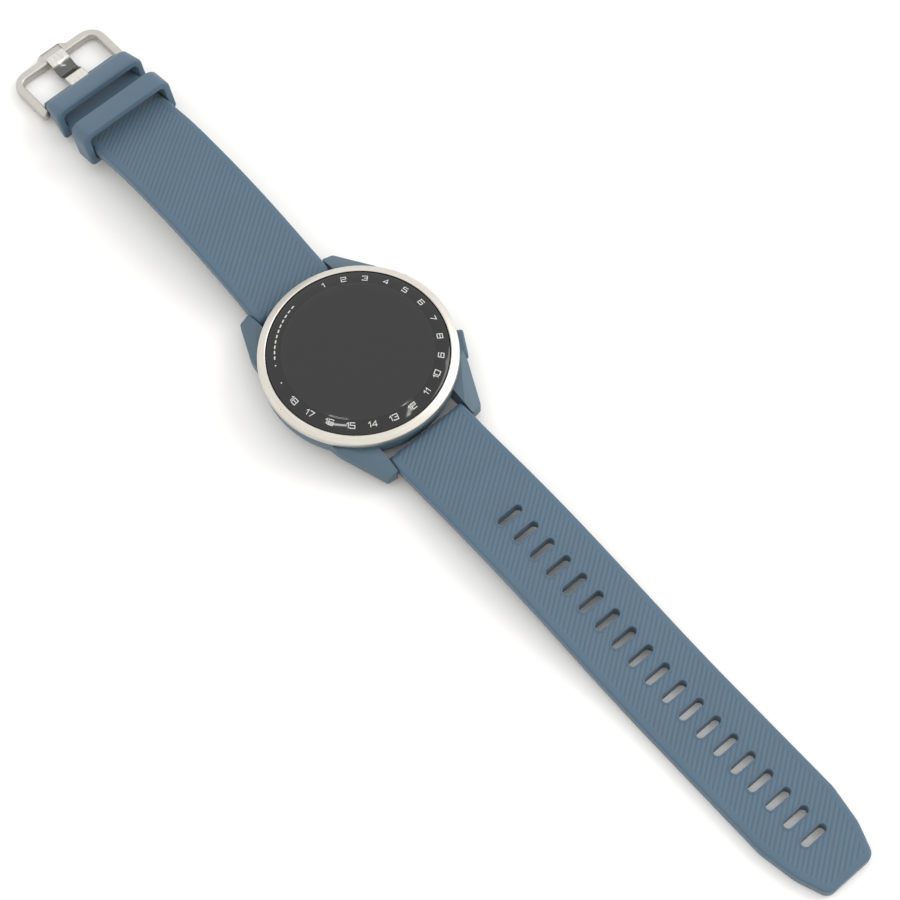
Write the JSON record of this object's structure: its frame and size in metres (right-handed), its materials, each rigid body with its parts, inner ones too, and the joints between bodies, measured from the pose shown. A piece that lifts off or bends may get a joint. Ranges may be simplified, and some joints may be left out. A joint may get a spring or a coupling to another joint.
{
  "type": "golf gps watch",
  "caption": "Round wrist-worn golf GPS watch laid open: domed glass in a steel bezel, plastic case with two side buttons, slotted silicone strap, keepers and pin buckle.",
  "frame": {"origin": "centre of the flat case back, on the table plane", "axes": "+X towards the two buttons at three o'clock, +Y towards twelve o'clock and the buckle, +Z out of the glass"},
  "size_m": [0.043, 0.2588, 0.0127],
  "materials": {
    "strap_silicone": "matte, fine diagonal grooves",
    "case_polymer": "matte, fine grain",
    "satin_steel": "satin",
    "bright_steel": "polished",
    "cover_glass": "black-backed glass, glossy",
    "display": "dark, off",
    "black_plastic": "moulded",
    "black_rubber": "matte",
    "circuit_board": "green solder mask",
    "ceramic": "unglazed ceramic",
    "battery_foil": "foil pouch",
    "gold_plate": "gold-plated, polished",
    "polyimide": "amber film"
  },
  "bodies": {
    "case": {"middle_case": "case_polymer", "bezel_ring": "satin_steel", "cover_glass": "cover_glass", "lens_gasket": "black_rubber", "display_panel": "display", "display_flex": "polyimide", "inner_frame": "black_plastic", "circuit_board": "circuit_board", "main_chip": "black_plastic", "gps_antenna": "ceramic", "battery": "battery_foil", "buzzer_can": "satin_steel", "buzzer_base": "black_plastic", "rear_cover": "case_polymer", "rear_gasket": "black_rubber", "rear_screw_1": "satin_steel", "rear_screw_2": "satin_steel", "rear_screw_3": "satin_steel", "rear_screw_4": "satin_steel", "charging_port": "black_plastic", "charging_pin_1": "gold_plate", "charging_pin_2": "gold_plate", "charging_pin_3": "gold_plate", "charging_pin_4": "gold_plate", "upper_switch": "black_plastic", "lower_switch": "black_plastic"},
    "buzzer_weight": {"buzzer_rotor": "satin_steel"},
    "upper_push_button": {"upper_button": "case_polymer", "upper_button_seal": "black_rubber", "upper_button_clip": "bright_steel", "upper_switch_plunger": "black_plastic"},
    "lower_push_button": {"lower_button": "case_polymer", "lower_button_seal": "black_rubber", "lower_button_clip": "bright_steel", "lower_switch_plunger": "black_plastic"},
    "slotted_strap": {"lower_strap": "strap_silicone", "lower_bar_tube": "satin_steel", "lower_bar_fixed_tip": "bright_steel", "lower_bar_spring": "bright_steel"},
    "lower_release": {"lower_bar_release_pin": "bright_steel"},
    "buckle_strap": {"upper_strap": "strap_silicone", "upper_bar_tube": "satin_steel", "upper_bar_fixed_tip": "bright_steel", "upper_bar_spring": "bright_steel"},
    "upper_release": {"upper_bar_release_pin": "bright_steel"},
    "loose_keeper": {"free_keeper": "strap_silicone"},
    "buckle": {"buckle_frame": "satin_steel", "buckle_bar_tube": "satin_steel", "buckle_bar_spring": "bright_steel"},
    "tongue": {"buckle_tongue": "bright_steel"},
    "buckle_tip_left": {"buckle_bar_tip_left": "bright_steel"},
    "buckle_tip_right": {"buckle_bar_tip_right": "bright_steel"}
  },
  "joints": [
    {"name": "lower_strap_swivel", "type": "hinge", "parent": "case", "child": "slotted_strap", "pos_m": [0, -0.0228, 0.00425], "axis": [-1, 0, 0], "range_deg": [-75, 60]},
    {"name": "upper_strap_swivel", "type": "hinge", "parent": "case", "child": "buckle_strap", "pos_m": [0, 0.0228, 0.00425], "axis": [1, 0, 0], "range_deg": [-75, 45]},
    {"name": "buckle_swivel", "type": "hinge", "parent": "buckle_strap", "child": "buckle", "pos_m": [0, 0.0976, 0.0021], "axis": [1, 0, 0], "range_deg": [-60, 15]},
    {"name": "tongue_swivel", "type": "hinge", "parent": "buckle", "child": "tongue", "pos_m": [0, 0.0976, 0.0021], "axis": [1, 0, 0], "range_deg": [0, 70]},
    {"name": "free_keeper_slide", "type": "slide", "parent": "buckle_strap", "child": "loose_keeper", "axis": [0, -0.9735, 0.2288], "range_m": [-0.004, 0.006]},
    {"name": "upper_button_press", "type": "slide", "parent": "case", "child": "upper_push_button", "axis": [-0.866, -0.5, 0], "range_m": [0, 0.00045], "stiffness_N_per_m": 500, "springref_m": -0.002},
    {"name": "lower_button_press", "type": "slide", "parent": "case", "child": "lower_push_button", "axis": [-0.866, 0.5, 0], "range_m": [0, 0.00045], "stiffness_N_per_m": 500, "springref_m": -0.002},
    {"name": "lower_release_slide", "type": "slide", "parent": "slotted_strap", "child": "lower_release", "axis": [-1, 0, 0], "range_m": [0, 0.0015], "stiffness_N_per_m": 300, "springref_m": -0.001},
    {"name": "upper_release_slide", "type": "slide", "parent": "buckle_strap", "child": "upper_release", "axis": [-1, 0, 0], "range_m": [0, 0.0015], "stiffness_N_per_m": 300, "springref_m": -0.001},
    {"name": "buckle_tip_left_slide", "type": "slide", "parent": "buckle", "child": "buckle_tip_left", "axis": [1, 0, 0], "range_m": [0, 0.0012], "stiffness_N_per_m": 300, "springref_m": -0.001},
    {"name": "buckle_tip_right_slide", "type": "slide", "parent": "buckle", "child": "buckle_tip_right", "axis": [-1, 0, 0], "range_m": [0, 0.0012], "stiffness_N_per_m": 300, "springref_m": -0.001},
    {"name": "buzzer_spin", "type": "hinge", "parent": "case", "child": "buzzer_weight", "pos_m": [-0.015, 0, 0.0045], "axis": [0, 0, 1], "continuous": true}
  ]
}
